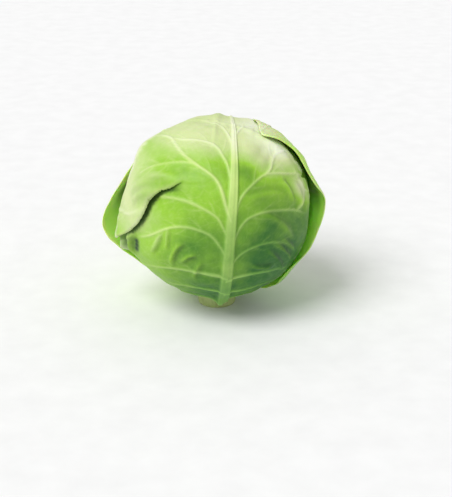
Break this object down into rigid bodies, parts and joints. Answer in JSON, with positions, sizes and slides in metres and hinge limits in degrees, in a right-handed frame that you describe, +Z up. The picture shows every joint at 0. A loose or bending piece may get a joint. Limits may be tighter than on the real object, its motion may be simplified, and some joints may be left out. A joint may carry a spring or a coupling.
{
  "type": "cabbage head",
  "caption": "Whole head of white cabbage standing on its cut stem: a dense round heart wrapped in cupped, ribbed outer leaves whose margins stand off at the sides.",
  "frame": {"origin": "centre of the cut stem's flat face", "axes": "+Z up through the crown; the front leaf's midrib faces -Y"},
  "size_m": [0.1901, 0.1708, 0.1679],
  "materials": {
    "stem_cream": "matte",
    "heart_green": "satin",
    "leaf_green": "satin"
  },
  "bodies": {
    "root": {"stem": "stem_cream", "inner_head": "heart_green", "back_leaf": "leaf_green", "side_leaf": "leaf_green", "front_leaf": "leaf_green", "left_leaf": "leaf_green", "right_leaf": "leaf_green"}
  },
  "joints": []
}
